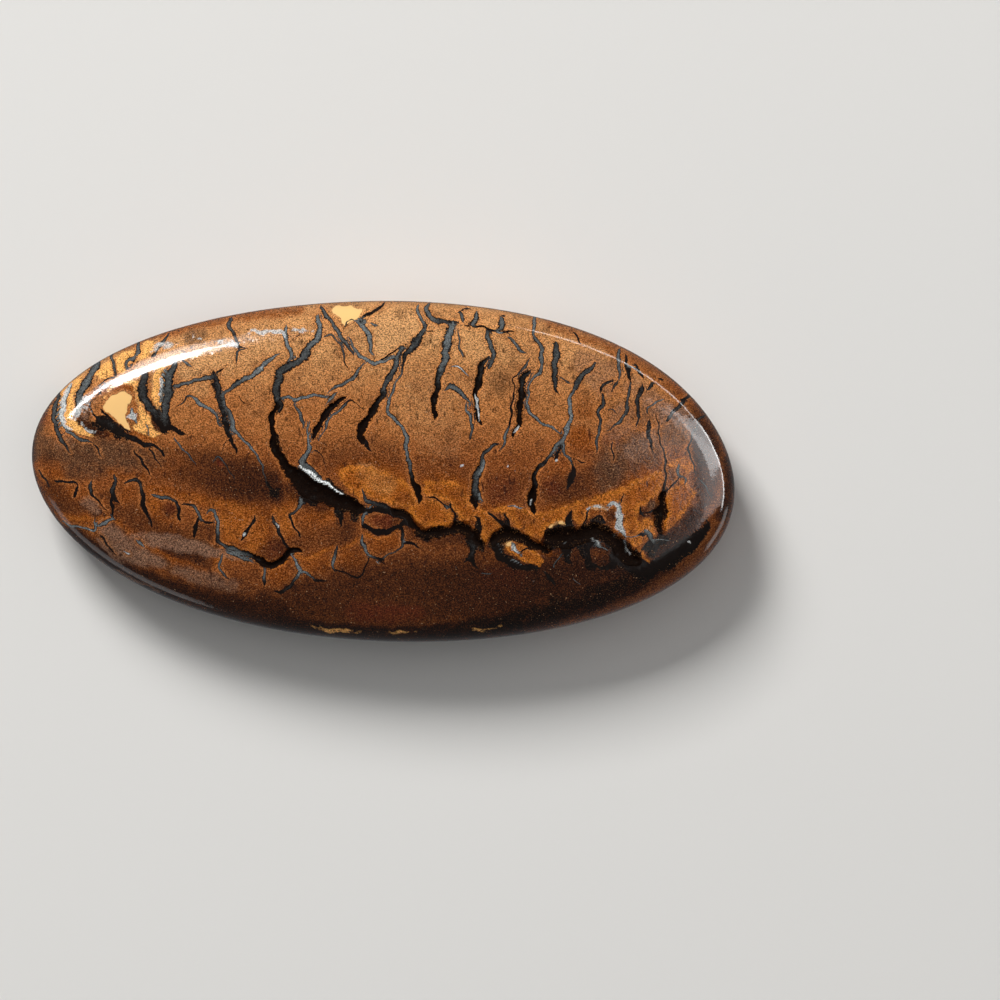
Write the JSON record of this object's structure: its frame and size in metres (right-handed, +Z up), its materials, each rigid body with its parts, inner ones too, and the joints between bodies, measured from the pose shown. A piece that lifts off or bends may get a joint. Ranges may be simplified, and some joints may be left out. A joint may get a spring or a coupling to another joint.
{
  "type": "polished boulder opal stone",
  "caption": "Polished freeform oval of boulder opal: brown ironstone crossed by thin grey opal veins, domed face, flat base to rest on.",
  "frame": {"origin": "centre of the bounding box of the stone, on the plane of its flat base", "axes": "+X along the long axis towards the narrow polished end, +Z up out of the domed face, +Y across the stone towards its back edge"},
  "size_m": [0.0376, 0.0182, 0.0065],
  "materials": {
    "stone": "polished ironstone with thin grey to black opal veins"
  },
  "bodies": {
    "root": {"boulder_opal_stone": "stone"}
  },
  "joints": []
}
